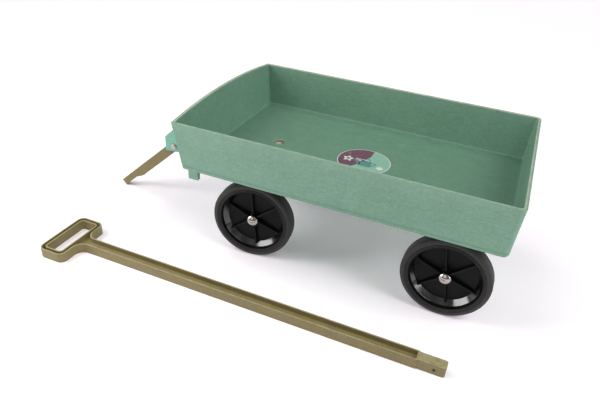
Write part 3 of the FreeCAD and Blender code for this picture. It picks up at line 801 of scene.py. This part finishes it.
def leaf(root, length, width, angle, steps=10):
    """Pointed oval that starts at its root."""
    ahead = Vector((math.cos(angle), math.sin(angle)))
    across = Vector((-ahead.y, ahead.x))
    right = [root + ahead * length * (i / steps) + across * width / 2 * math.sin(math.pi * i / steps) ** 0.8
             for i in range(steps + 1)]
    left = [root + ahead * length * (i / steps) - across * width / 2 * math.sin(math.pi * i / steps) ** 0.8
            for i in range(steps - 1, 0, -1)]
    return right + left


# ------------------------ wheels
# Each is made about its own middle, with its outer side at +Y.
def tyre_mesh():
    """Tyre with a worn flat tread, rounded shoulders and two grooves in its outer side."""
    seat = tyre_seat_r + tyre_rim_gap
    face = tyre_half
    corners = [
        (seat, -face + tyre_bulge, tyre_seat_edge_r),
        (tyre_widest_r, -face, tyre_inner_shoulder_r),
        (wheel_r, -face + tyre_bulge, tyre_shoulder_r),
        (wheel_r, face - tyre_bulge, tyre_shoulder_r),
        (tyre_widest_r + tyre_side_curve, face - tyre_side_drop, tyre_side_curve_r),
        (seat, face - tyre_bulge, 0.0),
    ]
    profile = rounded([(r, y) for r, y, _ in corners], [radius for _, _, radius in corners], 6)[:-1]
    half = tyre_groove_width / 2
    for r in tyre_groove_rs:
        y = face - tyre_bulge * (tyre_widest_r - r) / (tyre_widest_r - seat)
        bottom = y - tyre_groove_depth
        profile += [Vector((r + half, y)), Vector((r + half / 2, bottom)),
                    Vector((r - half / 2, bottom)), Vector((r - half, y))]
    bead = face - tyre_bulge
    profile += [Vector((r * mm, bead + height * mm)) for r, height in tyre_bead]
    profile.append(Vector((seat, bead - tyre_bead_foot)))
    return lathe(profile)


def rim_mesh():
    """Dished rim: a lip, a sloping ring, a flat web and a hub tube; the dish takes the second material."""
    inner_y = -tyre_half + rim_lip
    hub_in = -tyre_half - hub_inner_stand
    hub_out = lip_y - hub_outer_depth
    barrel_r = tyre_seat_r - rim_barrel
    # each corner's radius from the axle, its place along the axle, and its rounding in mm
    corners = [
        (axle_r, hub_in, 0.4),
        (hub_r, hub_in, 0.8),
        (hub_r, web_y - web_thickness, 1.5),
        (web_r, web_y - web_thickness, 2.0),
        (barrel_r, inner_y + rim_lip, 2.0),
        (barrel_r, inner_y, 0.6),
        (tyre_seat_r, inner_y, 0.6),
        (tyre_seat_r, lip_y, 0.7),
        (tyre_seat_r - rim_lip_width, lip_y, 0.6),
        (dish_bend_r, web_y + dish_bend_height, 3.0),
        (web_r, web_y, 1.2),
        (hub_r, web_y, 1.8),
        (hub_r, hub_out, 0.8),
        (axle_r, hub_out, 0.5),
    ]
    bm = lathe(rounded([(r, y) for r, y, _ in corners], [edge * mm for _, _, edge in corners], 4))
    for face in bm.faces:
        middle = face.calc_center_median()
        at_dish_height = web_y + dish_from_web < middle.y < lip_y - dish_from_lip
        if at_dish_height and math.hypot(middle.x, middle.z) > web_r:
            face.material_index = 1
    return bm


def rib_mesh(turned):
    """One rib across the web, thicker at its root, with its upper edges cut back."""
    root = web_y - web_thickness / 2
    slope = (dish_bend_r - web_r) / dish_bend_height
    start = hub_r - rib_overlap
    end = web_r + rib_rim_height * slope + rib_overlap
    half = rib_thickness / 2
    crown = half * rib_flat_share
    foot = half + rib_root_spread
    rings = []
    for along, height in ((start, rib_hub_height), (end, rib_rim_height)):
        top = web_y + height
        section = [(-foot, root), (foot, root), (half, top - rib_edge), (crown, top), (-crown, top),
                   (-half, top - rib_edge)]
        rings.append([Vector((x, y, along)) for x, y in section])
    bm, _ = skin(rings, cap_start=True, cap_end=True)
    bmesh.ops.transform(bm, matrix=Matrix.Rotation(turned, 4, "Y"), verts=bm.verts)
    return bm


def mould_mark(angle):
    """Small raised mark that the mould leaves on the tyre's side."""
    mark = circle(0, 0, mould_mark_r, steps=16)
    bm = peg(mark, -mould_mark_half_height, mould_mark_half_height, mould_mark_edge_r)
    place = Matrix.Translation((0, tyre_half - mould_mark_depth, mould_mark_place_r))
    upright_to_axle = Matrix.Rotation(math.pi / 2, 4, "X")
    turned = Matrix.Rotation(angle, 4, "Y")
    bmesh.ops.transform(bm, matrix=turned @ place @ upright_to_axle, verts=bm.verts)
    return bm


def wheel_place(end, side):
    """Where a wheel's own frame sits: its middle, with +Y along the axle and away from the cart."""
    low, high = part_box(f"{end}_{side}_tyre")
    axis = joint_of[f"wheel_{end}_{side}_spin"]["axis"]
    steer = math.atan2(-axis[0], axis[1])
    turn = steer if side == "left" else steer + math.pi
    return Matrix.Translation((low + high) / 2) @ Matrix.Rotation(turn, 4, "Z")


def cap_mesh():
    """Domed cap with a rolled edge, open underneath round the bore for the axle."""
    top = cap_skirt + cap_dome
    dome_r = (cap_r ** 2 + cap_dome ** 2) / (2 * cap_dome)
    centre = top - dome_r
    edge_angle = math.asin(cap_r / dome_r)
    outer = [(0.0, top)]
    for step in range(1, cap_dome_steps + 1):
        angle = edge_angle * step / cap_dome_steps
        outer.append((dome_r * math.sin(angle), centre + dome_r * math.cos(angle)))
    outer += [(cap_r, cap_roll), (cap_r - 0.3 * mm, 0.2 * mm), (cap_r - cap_thickness, 0.0)]
    bore_r = axle_r + cap_bore_gap
    inner = [(cap_r - cap_thickness, cap_skirt), (axle_r + cap_bore_wall, cap_skirt + cap_cone),
             (bore_r, cap_skirt), (bore_r, cap_bore_depth), (0.0, cap_bore_depth)]
    return lathe(outer + inner, steps=72)


def make_wheels(rubber, plastics, chrome):
    for end in ("rear", "front"):
        for side in ("left", "right"):
            place = wheel_place(end, side)
            tyre = build(f"{end}_{side}_tyre_piece", tyre_mesh(), rubber)
            for angle in mould_mark_angles:
                combine(tyre, mould_mark(angle), "UNION")
            rim = build(f"{end}_{side}_rim_piece", rim_mesh(), *plastics)
            turn = wheel_turn[end] if side == "left" else -wheel_turn[end]
            for index in range(rib_count):
                combine(rim, rib_mesh(turn + math.tau * index / rib_count), "UNION")
            cap = build(f"{end}_{side}_cap_piece", cap_mesh(), chrome)
            low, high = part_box(f"{end}_{side}_cap")
            to_cap = (place.inverted() @ ((low + high) / 2)).y - cap_height / 2
            tyre.data.transform(place)
            rim.data.transform(place)
            cap.data.transform(place @ Matrix.Translation((0, to_cap, 0)))
            for made, node in ((tyre, "tyre"), (rim, "rim"), (cap, "cap")):
                finish_edges(made)
                stands_for(made, f"{end}_{side}_{node}")


# ------------------------ handle
def t_outline(inset):
    """The handle's T shape, moved inwards by inset, along x from its socket end."""
    grip_half = grip_width / 2 - inset
    shaft_half = shaft_width / 2 - inset
    grip_start = handle_length - grip_length + inset
    grip_end = handle_length - inset
    start = socket_block + inset
    corners = [(start, -shaft_half), (grip_start, -shaft_half), (grip_start, -grip_half),
               (grip_end, -grip_half), (grip_end, grip_half), (grip_start, grip_half),
               (grip_start, shaft_half), (start, shaft_half)]
    corner = grip_corner_r - inset
    shoulder = grip_shoulder_r + inset
    start_r = max(shaft_start_r - inset / 2, shaft_start_least_r)
    return rounded(corners, [start_r, shoulder, corner, corner, corner, corner, shoulder, start_r], 10)


def ring_outline(inset):
    """The grip's inner ring, as a rounded rectangle moved inwards by inset from the grip's outline."""
    grip_half = grip_width / 2 - inset
    radius = max(grip_ring_corner_r - (inset - handle_wall - grip_groove), grip_ring_least_r)
    start, end = handle_length - grip_length + inset, handle_length - inset
    return rectangle(start, end, -grip_half, grip_half, radius, steps=8)


def wall_rings(outline, outer, inner, spread):
    """Rings over a wall between two insets, from the web's underside round its foot and top to the web.

    spread is 1 where the inner inset is the larger one and -1 where it is the smaller one.
    """
    e, f = handle_edge_r, web_fillet_r    # the foot's edge is cut back a little more than the top's
    middle_e, middle_f = spread * e * mid_arc, spread * f * mid_arc
    across = [(inner + spread * f, web_bottom_z), (inner + middle_f, web_bottom_z - f * mid_arc),
              (inner, web_bottom_z - f), (inner, e)]
    foot = [(inner - spread * e * 0.7, 0.25 * e), (inner - spread * e * 1.2, 0.0),
            (outer + spread * e * 1.2, 0.0), (outer + spread * e * 0.7, 0.25 * e), (outer, e)]
    top = [(outer, handle_height - e), (outer + middle_e, handle_height - mid_arc * e),
           (outer + spread * e, handle_height), (inner - spread * e, handle_height),
           (inner - middle_e, handle_height - mid_arc * e), (inner, handle_height - e)]
    down = [(inner, web_top_z + f), (inner + middle_f, web_top_z + f * mid_arc),
            (inner + spread * f, web_top_z)]
    return [[Vector((*p, z)) for p in outline(inset)] for inset, z in across + foot + top + down]


def fill_between(bm, *loops):
    """Flat faces between a closed loop of points and those inside it."""
    edges = []
    for loop in loops:
        for a, b in zip(loop, loop[1:] + loop[:1]):
            edges.append(bm.edges.get((a, b)) or bm.edges.new((a, b)))
    bmesh.ops.triangle_fill(bm, edges=edges, use_beauty=True, use_dissolve=False)


def handle_frame():
    """The shaft and the grip: an upright wall round a web, and an upright ring round the finger hole."""
    bm, outside = skin(wall_rings(t_outline, 0.0, handle_wall, 1))
    ring_out = handle_wall + grip_groove
    ring_in = ring_out + handle_wall
    _, inside = skin(wall_rings(ring_outline, ring_in, ring_out, -1), bm=bm)
    fill_between(bm, outside[0], inside[0])
    fill_between(bm, outside[-1], inside[-1])
    return bm


def block_mesh():
    """The socket block, with its end corners rounded and its long edges softened."""
    e = block_edge
    half = block_width / 2
    end = socket_block + block_overlap
    rings = []
    for inset, z in ((e, 0.0), (e * mid_arc, e * mid_arc), (0.0, e), (0.0, block_height - e),
                     (e * mid_arc, block_height - e * mid_arc), (e, block_height)):
        corners = [(inset, -half + inset), (end, -half + inset), (end, half - inset), (inset, half - inset)]
        radius = block_corner_r - inset
        rings.append([Vector((*p, z)) for p in rounded(corners, [radius, 0, 0, radius], 6)])
    return skin(rings, cap_start=True, cap_end=True)[0]


def across_solid(radius, y0, y1, x, z, edge=0.0):
    """Cylinder along Y, with its ends' edges cut back."""
    profile = [(0.0, y0), (radius - edge, y0), (radius, y0 + edge), (radius, y1 - edge),
               (radius - edge, y1), (0.0, y1)]
    bm = lathe(profile, steps=32)
    bmesh.ops.translate(bm, vec=(x, 0, z), verts=bm.verts)
    return bm


def box_solid(x0, x1, y0, y1, z0, z1):
    corners = ((x0, y0), (x1, y0), (x1, y1), (x0, y1))
    return stacked((corners, corners), (z0, z1))


def make_handle(material):
    handle = build("pull_handle_moulding", handle_frame(), material)
    combine(handle, block_mesh(), "UNION")
    hole_z = block_height / 2
    hole_x = cross_hole_from_end
    collar_half = block_width / 2 + collar_stand
    collar = across_solid(collar_r, -collar_half, collar_half, hole_x, hole_z, collar_edge)
    combine(handle, collar, "UNION")
    socket = box_solid(-cut_past, tongue_depth, -tongue_half, tongue_half, *socket_z)
    combine(handle, socket, "DIFFERENCE")
    combine(handle, across_solid(cross_hole_r, -block_width, block_width, hole_x, hole_z), "DIFFERENCE")
    for side in (1, -1):
        nib = circle(handle_length - grip_length / 2, side * (grip_width / 2 - handle_wall), nib_r, steps=16)
        combine(handle, peg(nib, web_top_z - 1.0 * mm, handle_height - nib_drop, nib_edge_r), "UNION")
    handle.data.transform(Matrix.Translation((handle_low.x, handle_y, 0)))
    mark_wear_and_highlight(handle.data, handle_wear_and_highlight)
    finish_edges(handle)
    stands_for(handle, "handle")


def handle_wear_and_highlight(point):
    """Paler along the walls' top edges: partly scuffs and partly a painted highlight."""
    return handle_top_wear_and_highlight if point.z > handle_height - handle_edge_r * 0.9 else 0.0


# ------------------------ floor, lights and camera
floor_size = 14.0
air_strength = 0.22
# name, place, what it points at, width and height, power in watts, colour
panels = (
    ("tall_left", (1.35, 0.78, 0.85), (0.0, 0.18, 0.06), (0.7, 1.2), 16.5, (1.0, 0.99, 0.98)),
    ("low_right", (-1.5, 0.5, 0.7), (-0.1, 0.15, 0.08), (0.35, 0.8), 4.5, (0.98, 0.99, 1.0)),
)
# name, where the light comes from, spread in degrees, strength
suns = (
    ("sun_left", (0.55, -0.12, 0.90), 40.0, 0.80),
    ("sun_right", (-0.55, 0.03, 0.75), 40.0, 1.68),
    ("sun_front", (0.1, 0.80, 0.60), 45.0, 0.38),
)
# fitted to the photo: tub corners, wheels, ground line and label circle
camera_place = (-0.24511, 0.94788, 0.68218)
camera_yaw, camera_pitch, camera_roll = 0.369917, 0.564878, 0.0704145
camera_lens = 33.165
camera_sensor_width = 36.0
camera_reach = 100.0


def make_floor():
    bm = bmesh.new()
    bmesh.ops.create_grid(bm, x_segments=2, y_segments=2, size=floor_size)
    g = Graph("studio_floor", Roughness=0.75, Specular_IOR_Level=0.1)
    tone = g.remap(g.noise(1.5, 2.0), 0.3, 0.7)
    g.set("Base Color", g.mix(tone, (0.97, 0.925, 0.965), (0.985, 0.94, 0.98)))
    g.shader.inputs["Emission Color"].default_value = (1.0, 0.92, 1.0, 1.0)
    g.shader.inputs["Emission Strength"].default_value = 0.12
    floor = build("studio_floor", bm, g.material)


def add_panel(name, place, target, size, power, colour):
    light = bpy.data.lights.new(name, "AREA")
    light.shape = "RECTANGLE"
    light.size, light.size_y = size
    light.energy = power
    light.color = colour
    made = bpy.data.objects.new(name, light)
    made.location = place
    made.rotation_mode = "QUATERNION"
    made.rotation_quaternion = (Vector(target) - Vector(place)).to_track_quat("-Z", "Y")
    made.visible_camera = False
    bpy.context.scene.collection.objects.link(made)


def add_sun(name, direction, spread, strength):
    """Soft even light that comes from the given direction."""
    light = bpy.data.lights.new(name, "SUN")
    light.angle = math.radians(spread)
    light.energy = strength
    made = bpy.data.objects.new(name, light)
    made.rotation_mode = "QUATERNION"
    made.rotation_quaternion = Vector(direction).to_track_quat("Z", "Y")
    bpy.context.scene.collection.objects.link(made)


def make_lights():
    """Broad soft light from both sides and the front, and two panels whose reflections show in the wheels."""
    world = bpy.data.worlds.new("studio_air")
    world.use_nodes = True
    background = world.node_tree.nodes["Background"]
    background.inputs["Color"].default_value = (1.0, 1.0, 1.0, 1.0)
    background.inputs["Strength"].default_value = air_strength
    bpy.context.scene.world = world
    for panel in panels:
        add_panel(*panel)
    for sun in suns:
        add_sun(*sun)


def make_camera():
    """Camera on the cart's left side, a little behind its middle, looking down at it."""
    level = math.cos(camera_pitch)
    ahead = Vector((level * math.sin(camera_yaw), -level * math.cos(camera_yaw), -math.sin(camera_pitch)))
    level_right = ahead.cross(Vector((0, 0, 1))).normalized()
    level_up = level_right.cross(ahead)
    right = level_right * math.cos(camera_roll) + level_up * math.sin(camera_roll)
    up = level_up * math.cos(camera_roll) - level_right * math.sin(camera_roll)
    turned = Matrix((right, up, -ahead)).transposed().to_4x4()
    data = bpy.data.cameras.new("camera")
    data.sensor_width = camera_sensor_width
    data.lens = camera_lens
    data.clip_end = camera_reach
    camera = bpy.data.objects.new("camera", data)
    camera.matrix_world = Matrix.Translation(camera_place) @ turned
    bpy.context.scene.collection.objects.link(camera)
    bpy.context.scene.camera = camera


# ------------------------ everything
def main():
    tub_plastic = tub_material()
    carrier_plastic = carrier_material()
    handle_plastic = handle_material()
    zinc = metal_material("zinc_steel", (0.56, 0.53, 0.50), (0.42, 0.36, 0.33), (0.26, 0.42), 0.15)
    chrome = metal_material("bright_cap", (0.46, 0.42, 0.40), (0.33, 0.28, 0.26), (0.10, 0.20), 0.03)
    nylon = nylon_material()
    make_tub(tub_plastic)
    make_label([
        film_material("label_pale", (0.62, 0.61, 0.55), (0.52, 0.53, 0.48)),
        film_material("label_plum", (0.125, 0.050, 0.085), (0.160, 0.075, 0.115)),
        film_material("label_mint", (0.205, 0.400, 0.305), (0.245, 0.440, 0.345)),
        film_material("label_teal", (0.075, 0.215, 0.205), (0.110, 0.265, 0.250)),
    ])
    satin = wheel_material("wheel_web", (0.0032, 0.0032, 0.0030), (0.0060, 0.0058, 0.0055),
                           (0.34, 0.50), 0.14)
    polished = wheel_material("wheel_dish", (0.0040, 0.0040, 0.0038), (0.0070, 0.0068, 0.0065),
                              (0.12, 0.20), 1.0)
    make_wheels(rubber_material(), (satin, polished), chrome)
    make_handle(handle_plastic)
    for node in ("front_carrier", "rear_axle_carrier"):
        softened(node, carrier_plastic, moulded_edge)
    softened("drawbar_link", handle_plastic, moulded_edge)
    worn_steel = metal_material("worn_steel", (0.92, 0.78, 0.71), (0.70, 0.52, 0.44), (0.42, 0.58), 0.2)
    for node in ("kingpin_bolt", "kingpin_nut", "kingpin_washers"):
        softened(node, worn_steel, metal_edge)
    for node in ("rear_carrier_screws", "rear_axle", "front_axle", "rear_axle_washers", "front_axle_washers",
                 "drawbar_nut", "drawbar_washers"):
        softened(node, zinc, metal_edge)
    softened("drawbar_bolt", zinc, bolt_head_edge)
    for node in ("turntable_disc", "kingpin_bush"):
        softened(node, nylon, slip_edge)
    make_floor()
    make_lights()
    make_camera()
    bpy.context.scene.view_settings.view_transform = "Standard"


main()
